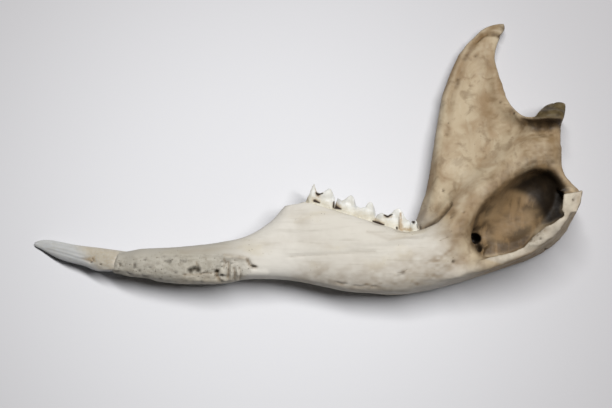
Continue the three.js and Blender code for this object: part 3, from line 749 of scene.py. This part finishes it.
# Tints, by the mark that they leave: a line of pixels, how far they reach from it, and their strength
# Brown stain, and painted shade where noted
STAINS_AND_SHADE = [
    # the blade beside the notch
    (499, 84, 504, 100, 514, 118, 530, 130, 7, 0.6),
    (518, 118, 530, 124, 548, 128, 5, 0.5),
    (488, 115, 498, 120, 508, 127, 4.5, 0.75),
    (491, 70, 490, 90, 490, 106, 491, 124, 3.8, 0.75),
    (462, 58, 458, 76, 452, 96, 4.5, 0.4),
    (480, 44, 484, 60, 490, 76, 4.5, 0.4),
    # the neck of the condyle
    (520, 134, 536, 140, 556, 138, 4.5, 0.9),
    (528, 150, 544, 152, 560, 148, 4.5, 0.9),
    (563, 122, 562, 136, 562, 150, 566, 170, 2.6, 0.6),
    # the blade's tip, its edges and the faint lines on it
    (474, 37, 486, 30, 498, 27, 2.6, 0.75),
    (464, 60, 459, 70, 456.4, 84, 1.8, 0.8),
    (450.7, 104.8, 448.7, 117, 448.2, 129.3, 1.2, 0.6),
    (472, 44, 457, 80, 447, 112, 1.4, 0.5),
    (431.5, 182, 424.5, 204.7, 418, 222, 1.4, 0.5),
    (489, 60, 488, 84, 493, 100, 2.2, 0.5),
    (440, 205, 432, 216, 424, 224, 3.2, 0.3),
    (436, 170, 444, 178, 452, 180, 460, 186, 0.6, 0.5),
    (468, 160, 476, 168, 486, 172, 0.6, 0.5),
    (430, 186, 440, 196, 452, 200, 0.6, 0.45),
    (455, 172, 462, 180, 458, 190, 0.6, 0.5),
    (471, 189, 478, 184, 2.2, 0.6),
    (487, 180, 494, 172, 503, 164, 1.4, 0.5),
    # painted shade on the slope down into the hollow
    (466, 214, 460, 232, 456, 250, 2.6, 0.5),
    # the body behind and below the teeth, and its lower border
    (456, 240, 449.3, 251, 441.3, 259, 428, 265, 3.6, 0.9),
    (449, 238, 440, 254, 425, 264, 400, 272, 7.5, 0.55),
    (457, 262, 447, 270, 430, 274, 5.5, 0.7),
    (288, 212, 300, 214, 303, 222, 3.5, 0.22),
    (322, 280, 343, 283.5, 357, 285.6, 384, 287.5, 2.6, 0.6),
    (329, 281.5, 336, 282.5, 344, 284, 1.4, 1),
    (351, 287, 357, 287, 363, 288.6, 1.5, 0.9),
    (366, 284.4, 371, 284.3, 1, 0.9),
    (386, 284, 404, 281.6, 420, 284, 436, 283, 2.4, 0.55),
    (412.6, 281.4, 417.4, 284, 1.2, 1),
    (395, 275.6, 403, 273, 411, 269.6, 1.5, 0.8),
    # painted shade: the lower half of the body, which curves away from the light, darker towards the lower
    # border
    (300, 288, 340, 291, 380, 293.5, 420, 292, 460, 283, 500, 268, 3.4, 0.5),
    (310, 278, 340, 279, 380, 282, 420, 280, 455, 270, 8.5, 0.5),
    (310, 266, 340, 264, 360, 265, 5, 0.22),
    (266, 244, 300, 238, 330, 246, 2.4, 0.15),
    # the front
    (119.6, 250.8, 115, 254, 111.2, 261, 109, 268, 109.8, 272.6, 0.55, 0.7),
    (225, 255.5, 236, 256.6, 246, 259, 1, 0.6),
    (184, 280, 200, 277, 214, 276, 1.6, 0.35),
    (181, 252, 210, 250, 240, 246, 1.3, 0.15),
    # the outer side of the wall: its tan stain, and painted shade where it faces away from the light
    (584, 192, 580, 210, 573, 230, 558, 245, 535, 257, 510, 266, 2.8, 0.8),
    (534, 238, 544, 232, 2, 0.5),
]
# Brown, mostly painted shade: on the slopes down into the hollow, under the condyle, in pits and along the
# groove beside the coronoid's crest; the patches on the blade are stain
BROWN_STAIN_AND_SHADE_TINTS = [
    (532, 162, 544, 158, 552, 160, 3.6, 0.85),
    (524, 126, 538, 130, 556, 131, 2.4, 0.8),
    (499.7, 37, 495.6, 34.8, 490.5, 33.8, 485.4, 34.2, 480.3, 36.4, 476.2, 40.2, 1, 1.2),
    (476.2, 40.2, 472.1, 46.6, 468.1, 53.8, 464.4, 59.6, 1.1, 0.9),
    (458.4, 78.8, 456.8, 86, 1.2, 0.6),
    (476.2, 55.8, 1.3, 0.8),
    (500.2, 101.7, 1.1, 0.7),
    (510.6, 110, 513.4, 114, 1.1, 0.7),
    (470, 232, 478, 212, 492, 192, 510, 178, 530, 168, 546, 160, 5.5, 0.7),
    (463, 220, 470, 209, 480, 197, 496, 181, 510, 173, 3.2, 0.6),
]
# Painted shade along creases and cracks, at the blade's tip, and over the rim left pale behind the wall's
# broken end
PAINTED_SHADE_TINTS = [
    (503.4, 25, 503.4, 28, 1.6, 0.6),
    (425, 226, 434, 221.6, 440.4, 215.6, 448, 206, 0.9, 0.7),
    (456, 212, 452, 216, 1, 0.3),
    (398.4, 274.6, 404, 272.4, 0.8, 0.5),
    (561, 188.4, 567, 189.2, 1.4, 0.8),
]
# Painted highlights: on the blade's raised front rim, its lit bulges, and the lower folds of the joint face
PAINTED_HIGHLIGHT_TINTS = [
    (441, 100, 438.6, 130, 436.6, 160, 1.8, 0.7),
    (458, 168, 466, 178, 478, 185, 4.5, 0.8),
    (464, 197, 460, 206, 2.6, 0.7),
    (432, 200, 444, 194, 3, 0.5),
    (488, 166, 496, 156, 3, 0.4),
    (176, 281.4, 200, 282, 225, 281, 243, 277, 1.3, 0.6),
]
TINTS = {"stain_and_shade": STAINS_AND_SHADE, "brown_stain_and_shade": BROWN_STAIN_AND_SHADE_TINTS, "shade_and_dark_spots": PAINTED_SHADE_TINTS, "painted_highlight": PAINTED_HIGHLIGHT_TINTS}
JOINT_FACE = [
    112, 259, 130, 257, 163, 256, 223, 256, 247, 258, 254, 266, 243, 279, 214, 285, 170, 283, 138, 278,
    110, 274,
]
FOSSA = [
    469.6, 224, 481, 204, 503.6, 179.5, 524, 172.5, 535, 163.5, 545, 161.6, 556, 168, 568, 190, 563, 195,
    560.6, 211.6, 563.6, 216.2, 551, 223.8, 541, 226, 536, 230, 529.4, 240, 525, 246.4, 512.5, 251.6,
    494.6, 255, 479.5, 256.3, 469, 244,
]
FOSSA_SHADE = [
    510, 188, 522, 179, 532, 174, 548, 169, 565, 178, 574, 192, 570, 206, 566, 222, 553, 226, 546, 222,
    540, 208.6, 534, 200, 524, 194,
]
WALL_TOP = [
    585, 189, 562, 194, 560, 212, 549, 225, 535, 229, 527, 244, 505, 253, 480, 257, 502, 264, 522, 256,
    542, 247, 558, 237, 570, 227, 580, 212,
]
BROKEN_PATCH = [529, 240, 534, 232, 541, 229, 547, 232, 543, 240, 534, 246, 527, 248]
CONDYLE_LOBE = [533, 118, 538, 111, 545, 105, 552, 101, 562, 101, 567, 106, 566, 118]
CONDYLE_RECESS = [
    522, 119.5, 530, 119.2, 540, 119.8, 552, 118.6, 562, 118.8, 562, 127, 550, 130, 536, 131, 527, 126,
]
WALL_TOP_HEIGHT = (17, 19)  # over these heights the marks on the wall's top come in
CHIPPING, SPONGE_DEPTH, RECESS_DEPTH = 0.14, 0.6, 0.5  # in millimetres, as are the next two
JOINT_ROUGHNESS, JOINT_PIT_DEPTH = 0.13, 0.4
TO_RAMUS = np.array([0.77, 0.64, 0])  # the way in which cream bone gives way to tan
RAMUS_START = (94, 107)  # along that way
FRONT_START = (-68, -50)  # of the greyer front, along -X
FINE_HOLLOWS, BROAD_HOLLOWS = (8, 0.16), (24, 0.5)  # rounds of blurring, and the depth that counts as full


def carve_bone(bone):
    """Shapes the bone's details and marks what its material needs."""
    for *pixel, width, depth in PITS:
        close = bone.near(pixel, width)
        bone.push(-depth * close)
        # each pit is also painted dark: painted shade in the hole
        bone.mark("shade_and_dark_spots", 0.85 * close ** 1.5 * min(depth, 1))
    for *path, width, depth in GROOVES:
        close = bone.near(path, width)
        bone.push(-depth * close)
        # each groove is darkened with its depth: painted shade in it
        bone.mark("stain_and_shade", close * min(depth, 0.9))
    for *path, width, height in RIDGES:
        bone.push(height * bone.near(path, width))
    uneven = 0.7 + 0.35 * bone.noise(2.2, 13) + 0.35 * bone.noise((1.1, 0.7, 0.7), 14)
    for mark, tints in TINTS.items():
        for *path, width, strength in tints:
            bone.mark(mark, strength * bone.near(path, width) * np.clip(uneven, 0, 1))

    joint_face = bone.within(JOINT_FACE, 1.2)
    pitted = np.clip(bone.noise((1.5, 0.8, 0.8), 4) - 0.3, 0, 1)
    rough = JOINT_ROUGHNESS * bone.noise((2.4, 1.1, 1.1), 3)
    bone.push(joint_face * (rough - JOINT_PIT_DEPTH * pitted))
    bone.mark("rough", joint_face)
    # dark dots in the joint face's pits: painted shade
    bone.mark("shade_and_dark_spots", 0.45 * joint_face * soft_step(pitted, 0.2, 0.5))

    wall_top = bone.within(WALL_TOP, 0.5) * soft_step(bone.points[:, 2], *WALL_TOP_HEIGHT)
    chips = bone.noise((2.2, 2.2, 2.2), 7) + 0.6 * bone.noise((0.9, 0.9, 0.9), 8)
    bone.push(wall_top * CHIPPING * chips)
    broken = bone.within(BROKEN_PATCH, 0.8) * soft_step(bone.points[:, 2], *WALL_TOP_HEIGHT)
    spongy = np.clip(bone.noise((0.9, 0.9, 1.2), 9) - 0.2, 0, 1) * broken
    bone.push(-SPONGE_DEPTH * spongy)
    bone.mark("rough", np.maximum(0.25 * wall_top, broken))

    fossa = np.maximum(bone.within(FOSSA, 1), bone.within(FOSSA, 2.5, 0.6) * (bone.normals[:, 2] < 0.5))
    fossa = fossa * (1 - wall_top)
    shade = bone.within(FOSSA_SHADE, 1.4, 0.5)
    canal = bone.inside_ball(*CANAL_HOLE)
    recess = bone.within(CONDYLE_RECESS, 0.8)
    lobe = bone.within(CONDYLE_LOBE, 0.6)
    bone.push(-RECESS_DEPTH * recess)
    # Painted shade: the hollow is brown from its stain, deepened with painted shade, and near black under its
    # overhang; the canal, its pit and the recess under the condyle's lip are painted dark
    bone.mark("brown_stain_and_shade", 0.9 * fossa)
    bone.mark("brown_stain_and_shade", 0.85 * recess)
    bone.mark("olive", lobe)
    bone.mark("shade_and_dark_spots", 0.9 * shade * fossa)
    bone.mark("shade_and_dark_spots", 0.95 * canal)
    bone.mark("shade_and_dark_spots", 0.6 * bone.inside_ball(*CANAL_PIT))
    bone.mark("shade_and_dark_spots", 0.45 * recess)

    # the crumpled, faintly lined skin of old bone
    bone.push(0.10 * bone.noise((7, 3, 3), 1) + 0.02 * bone.noise((9, 1.1, 1.4), 2))
    bone.push(0.03 * bone.noise(0.9, 5))
    bone.refresh()
    back = bone.points @ TO_RAMUS + 3 * bone.noise(9, 11)
    pale_top = 0.45 * wall_top * soft_step(bone.normals[:, 2], 0.2, 0.7)
    bone.mark("ramus", soft_step(back, *RAMUS_START) * (1 - pale_top))
    bone.mark("front", soft_step(-bone.points[:, 0] + 3 * bone.noise(8, 12), *FRONT_START))
    fine = 0.8 * np.maximum(bone.hollows(*FINE_HOLLOWS), 0)
    bone.marks["hollow"] = np.where(fine > 0, fine, bone.hollows(*BROAD_HOLLOWS))


def thin_collar(bone):
    """Brings the front edge of the bone down to the incisor that it surrounds."""
    behind = bone.points[:, 0] - COLLAR_EDGE[0] - COLLAR_SLOPE * (bone.points[:, 1] - COLLAR_EDGE[1])
    bone.push(-COLLAR_THINNING * soft_step(-behind, -COLLAR_LENGTH, 0) * (1 - np.abs(bone.normals[:, 0])))
    bone.refresh()


BONE_SMOOTHING = 6  # rounds over the whole bone
STEP_SMOOTHING = 24  # and more where the cuts left steps: on the wall's sides and on the hollow's floor
WALL_FRONT = 140  # along X
WALL_SIDES = (13, 16)  # heights over which the wall's sides begin
HOLLOW_FLOOR = (-14.5, -12.5)  # and over which the floor begins, downwards


def make_bone(material):
    bone = bone_skin()
    bone.relax(BONE_SMOOTHING)
    upright = 1 - soft_step(bone.normals[:, 2], 0.2, 0.6)
    sides = upright * soft_step(bone.points[:, 2], *WALL_SIDES) * (bone.points[:, 0] > WALL_FRONT)
    floor = bone.within(FOSSA, 0.8, 0.6) * soft_step(-bone.points[:, 2], *HOLLOW_FLOOR)
    bone.relax(STEP_SMOOTHING, np.maximum(sides, floor))
    thin_collar(bone)
    carve_bone(bone)
    add_piece(bone, "jawbone_surface", material, "jawbone")


# The teeth
TOOTH_VOXEL = 0.15
CROWN_WIDTH = 6.2
ROOT_DEPTH = 7.2
TONGUE_SIDE = 13.0  # height of the crowns' inner sides, which the photograph shows
END_SWELL = 0.34  # how far a crown's ends are built out, which smoothing takes off again
MOLAR_CUTS = 47  # in each side of the block that a molar is shaped from
RIDGE_ROUNDING = 0.5  # how far the ridges dip in the middle
CHEEK_DROP = 0.35  # how far they fall from the middle to the cheek side
LINK_HEIGHT, LINK_PLACE, LINK_WIDTH = 0.8, -0.1, 0.3  # of the low link between the ridges
WAIST = 0.10  # share of its width that a crown loses between its ridges
ROOT_NARROWING, ROOT_SHORTENING = 0.28, 0.16  # shares lost down to the root's end
CROWN_NARROWING = 0.26
END_ROUNDING = 0.3
# Each molar's outline as its inner side shows it, from its front foot over its ridges to its back foot
MOLAR_OUTLINES = {
    "first_molar": [
        305.6, 203, 306.2, 199.4, 308.2, 195.9, 310.5, 192.8, 311.5, 187.7, 312.3, 184, 313.2, 182.6,
        314.8, 183.6, 315.8, 188.6, 317, 191.8, 320.4, 192.8, 323.4, 191.8, 326.4, 189.9, 328.8, 188.2,
        330.8, 188.9, 332.8, 192.3, 334.4, 197.4, 335.2, 202, 335.3, 209,
    ],
    "second_molar": [
        333.4, 209, 333.6, 199.6, 337, 196.8, 339.3, 199, 341.8, 200.9, 344.9, 199.3, 348, 196.4,
        350.9, 194.7, 353.2, 196.2, 354.8, 199.9, 356.1, 206.2, 360.7, 207.9, 365.6, 207, 367.3, 203.5,
        369.9, 201.2, 372.4, 202.3, 374.5, 207.1, 375.6, 212.7, 376, 222,
    ],
    "third_molar": [
        373.8, 223, 374, 216.2, 379, 213.6, 381.7, 212.4, 384.4, 214, 388, 215, 391.8, 212.6, 394, 209.8,
        397.6, 208, 400.6, 208.8, 402.8, 212.2, 404.4, 216, 406.2, 219.4, 409.6, 220.6, 411, 223.6,
        411.2, 231,
    ],
    "fourth_molar": [
        408, 231, 408.6, 227.4, 410.6, 221.4, 413.2, 219.4, 416, 220.4, 417.6, 223.4, 418.2, 229,
        421, 231.5, 428, 234, 434, 236,
    ],
}
# Marks of the molars: two pixels, the reach at each and the depth in millimetres, the mark and its strength
# dark marks are painted shade in the notches and gaps, stain marks are stain and painted shade beside them,
# grey marks are painted shade on the ridges' back sides
TOOTH_MARKS = [
    ((316.8, 192.8), (318, 193.7), 0.6, 0.85, 0.4, "shade_and_dark_spots", 1),
    ((318.2, 193.7), (322.6, 193.2), 0.8, 0.3, 0.2, "shade_and_dark_spots", 1),
    ((316, 188), (318, 195.6), 0.5, 1.2, 0, "stain_and_shade", 0.7),
    ((314.6, 200.6), (319.6, 202.8), 0.75, 0.3, 0.3, "shade_and_dark_spots", 1),
    ((314, 199.6), (318.6, 201), 1.2, 0.7, 0, "stain_and_shade", 0.6),
    ((307, 198), (308.6, 201.6), 0.7, 0.6, 0, "shade_and_dark_spots", 0.4),
    ((334.2, 201.8), (334.8, 206.4), 0.4, 1, 0.3, "shade_and_dark_spots", 1),
    ((335.4, 207), (341, 208.9), 1, 0.3, 0.2, "shade_and_dark_spots", 1),
    ((335, 204), (339, 207), 1.2, 1.2, 0, "stain_and_shade", 0.7),
    ((337.4, 199), (338.8, 205), 1.1, 1.1, 0, "grey_tone_and_shade", 0.9),
    ((355, 200.5), (355.8, 207), 0.5, 0.6, 0.1, "grey_tone_and_shade", 0.9),
    ((374.3, 207), (375.2, 216), 0.5, 0.6, 0.1, "grey_tone_and_shade", 0.9),
    ((372.8, 221), (377.6, 222.8), 0.3, 0.85, 0.2, "shade_and_dark_spots", 1),
    ((377.6, 222.8), (384.2, 224.8), 0.85, 0.3, 0.2, "shade_and_dark_spots", 1),
    ((375, 220), (383, 223), 1, 0.8, 0, "stain_and_shade", 0.6),
    ((378, 215.5), (379.6, 220.5), 1.2, 1.2, 0, "grey_tone_and_shade", 0.9),
    ((384.4, 214.8), (387.4, 215.8), 0.4, 0.8, 0.3, "shade_and_dark_spots", 1),
    ((387.4, 215.8), (392.2, 214.4), 0.8, 0.25, 0.2, "shade_and_dark_spots", 1),
    ((385, 216), (391, 216.4), 0.9, 0.7, 0, "stain_and_shade", 0.5),
    ((400.6, 213), (400.8, 229.6), 0.5, 1.25, 0.1, "stain_and_shade", 1),
    ((399.2, 217), (399.2, 228), 0.3, 0.4, 0.1, "shade_and_dark_spots", 0.5),
    ((396.8, 227.4), (397, 228.8), 0.5, 0.5, 0.2, "shade_and_dark_spots", 0.9),
    ((402.6, 229), (410, 229.2), 0.7, 0.9, 0.1, "stain_and_shade", 0.8),
    ((411.4, 219.6), (413.4, 222), 0.9, 0.8, 0.4, "shade_and_dark_spots", 1),
    ((418, 224.6), (418.4, 227.4), 0.7, 0.6, 0.2, "shade_and_dark_spots", 0.9),
]
INCISOR_NECK = [76, 243, 96, 243, 122, 246, 120, 262, 114, 276, 104, 271, 97, 268, 91, 262, 85, 254]
INCISOR_PATCH = [82, 258.5, 89, 257, 95, 255.5, 96, 262, 90, 262.6]
NECK_SWELL = 0.5  # how far the incisor is built out where the bone closes round it, and how much more below
NECK_SWELL_BELOW = 0.8
NECK_SWELL_START = (11, 23)  # along X, at the collar's slope
ROOT_START = (24, 28)  # along X
INCISOR_VOXEL = 0.2
PATCH_DEPTH, SPECK_DEPTH, LINE_DEPTH = 0.15, 0.15, 0.1
INCISOR_SPECKS = [(90.6, 262.8), (91.6, 262.2), (99.8, 264.6), (101, 264.4), (92.2, 258.8), (93, 260.4)]
INCISOR_LINES = [
    (40, 245, 60, 249.5, 84, 256), (46, 249, 66, 254.5, 90, 262), (34, 242, 50, 245, 76, 249),
    (52, 243.6, 70, 247.6, 82, 250.8),
]


def on_row(points):
    """Places along the row and above its line."""
    local = points - ROW_START
    return local @ ROW_ALONG, local @ ROW_UP


def molar_skin(outline):
    """A molar with two cross ridges, a low saddle between them, and a root that narrows downwards."""
    along, above = on_row(from_pixels(outline, TONGUE_SIDE))
    first, last = along[0] - END_SWELL, along[-1] + END_SWELL
    shape = bmesh.new()
    bmesh.ops.create_cube(shape, size=1)
    bmesh.ops.subdivide_edges(shape, edges=shape.edges, cuts=MOLAR_CUTS, use_grid_fill=True)
    mesh = finished(shape)
    unit = read(mesh.vertices, "co")
    share, up, across = unit[:, 0] + 0.5, unit[:, 1] + 0.5, unit[:, 2] * 2
    ridge = np.interp(first + share * (last - first), along, above)
    floor, top = np.percentile(above[1:-1], 30), above.max()
    loph = soft_step(ridge, floor, top)
    grey_tone_and_shade = RIDGE_ROUNDING * (1 - across ** 2) * loph + CHEEK_DROP * (1 - across)
    link = LINK_HEIGHT * np.exp(-(((across - LINK_PLACE) / LINK_WIDTH) ** 2)) * (1 - loph)
    crest = ridge - grey_tone_and_shade + link
    height = -ROOT_DEPTH + up * (crest + ROOT_DEPTH)
    root = soft_step(-height, 0.5, ROOT_DEPTH)
    crown = np.clip(height / 5, 0, 1)
    waist = 1 - WAIST * (1 - loph) * crown
    half_width = CROWN_WIDTH / 2 * (1.02 - ROOT_NARROWING * root - CROWN_NARROWING * crown ** 1.3) * waist
    half_length = (last - first) / 2 * (1 - ROOT_SHORTENING * root)
    x = (first + last) / 2 + (2 * share - 1) * half_length
    z = across * half_width * (1 - END_ROUNDING * np.abs(2 * share - 1) ** 5)
    placed = ROW_START + x[:, None] * ROW_ALONG + height[:, None] * ROW_UP
    placed[:, 2] += z
    move(mesh, placed)
    return one_skin([mesh], TOOTH_VOXEL)


def finish_tooth(tooth, node, material):
    for mark in ("neck", "stain_and_shade", "shade_and_dark_spots", "grey_tone_and_shade"):
        tooth.mark(mark, np.zeros(len(tooth.points)))
    tooth.mark("hollow", tooth.hollows(14, 0.14))
    add_piece(tooth, node + "_surface", material, node)


def make_molar(node, material):
    tooth = Form(molar_skin(MOLAR_OUTLINES[node]))
    tooth.relax(2)
    for start, end, first_width, last_width, depth, mark, strength in TOOTH_MARKS:
        close = tooth.tapered(start, end, first_width, last_width)
        tooth.push(-depth * close)
        tooth.mark(mark, strength * close)
    tooth.push(0.05 * tooth.noise(1.2, 21) + 0.025 * tooth.noise((0.5, 1.6, 0.5), 22))
    tooth.refresh()
    _, above = on_row(tooth.points)
    tooth.mark("neck", 0.8 * soft_step(-above, -2.6, 0.2))
    finish_tooth(tooth, node, material)


def make_incisor(material):
    tooth = Form(one_skin([smooth_through(cad_mesh("incisor"), 3)], INCISOR_VOXEL))
    tooth.relax(6)
    swell = NECK_SWELL + NECK_SWELL_BELOW * np.clip(-tooth.normals[:, 1], 0, 1)
    place = tooth.points[:, 0] - COLLAR_SLOPE * (tooth.points[:, 1] - COLLAR_EDGE[1])
    tooth.push(swell * soft_step(place, *NECK_SWELL_START))
    tooth.refresh()
    # the whole incisor takes the grey tone
    tooth.mark("grey_tone_and_shade", np.ones(len(tooth.points)))
    neck = tooth.within(INCISOR_NECK, 2.2)
    tooth.mark("neck", 0.6 * neck)
    tooth.mark("stain_and_shade", 0.3 * neck)
    tooth.mark("neck", soft_step(tooth.points[:, 0], *ROOT_START))
    patch = tooth.within(INCISOR_PATCH, 0.6)
    tooth.mark("stain_and_shade", 0.7 * patch)
    tooth.push(-PATCH_DEPTH * patch)
    for pixel in INCISOR_SPECKS:
        close = tooth.near([pixel], 0.5)
        tooth.push(-SPECK_DEPTH * close)
        tooth.mark("shade_and_dark_spots", 0.5 * close)
    for path in INCISOR_LINES:
        tooth.push(-LINE_DEPTH * tooth.near(path, 0.5))
    tooth.push(0.04 * tooth.noise((6, 0.8, 0.8), 31))
    tooth.refresh()
    finish_tooth(tooth, "incisor", material)


# The studio, in metres
FLOOR_SIZE = 4
LIGHT_POOL_CENTRE = (-0.015, -0.025, 0)  # centre of the pool of light painted on the floor
LIGHT_POOL_REACH = (0.02, 0.15)  # how far from there the painted light begins to fade to the darker corners, and how far it goes on
KEY_PLACE = (0.15, 0.17, 0.85)
KEY_WIDTH, KEY_DEPTH = 0.8, 0.1
KEY_POWER = 11.7  # watts
SKY_STRENGTH = 0.005
SKY_COLOUR = (1, 0.98, 0.95, 1)


def add_floor():
    bpy.ops.mesh.primitive_plane_add(size=FLOOR_SIZE)
    floor = bpy.context.object
    floor.name = "floor"
    look = Look("floor_paper")
    middle = look.add("ShaderNodeVectorMath", {0: look.place, 1: LIGHT_POOL_CENTRE}, operation="DISTANCE")
    away = look.spread(middle.outputs["Value"], *LIGHT_POOL_REACH)
    # the floor's colour is a painted pool of light: bright round that centre, darker towards the corners
    colour = look.mixed((238, 238, 241), ((196, 194, 196), away))
    floor.data.materials.append(look.finish(colour, 0.9, look.grain(1.5), PAPER_BUMP))


def add_light():
    """A soft light above the jaw, aimed at its middle."""
    data = bpy.data.lights.new("key", "AREA")
    data.shape = "RECTANGLE"
    data.size = KEY_WIDTH
    data.size_y = KEY_DEPTH
    data.energy = KEY_POWER
    light = add_object("key", data)
    light.location = KEY_PLACE
    light.rotation_mode = "QUATERNION"
    light.rotation_quaternion = Vector(KEY_PLACE).to_track_quat("Z", "Y")


def add_world():
    world = bpy.data.worlds.new("studio")
    world.use_nodes = True
    background = world.node_tree.nodes["Background"]
    background.inputs["Color"].default_value = SKY_COLOUR
    background.inputs["Strength"].default_value = SKY_STRENGTH
    bpy.context.scene.world = world


add_camera()
add_floor()
add_world()
add_light()
bpy.context.scene.view_settings.view_transform = "Standard"

make_bone(bone_material())
tooth_look = enamel_material()
make_incisor(tooth_look)
for molar_node in MOLAR_NODES:
    make_molar(molar_node, tooth_look)
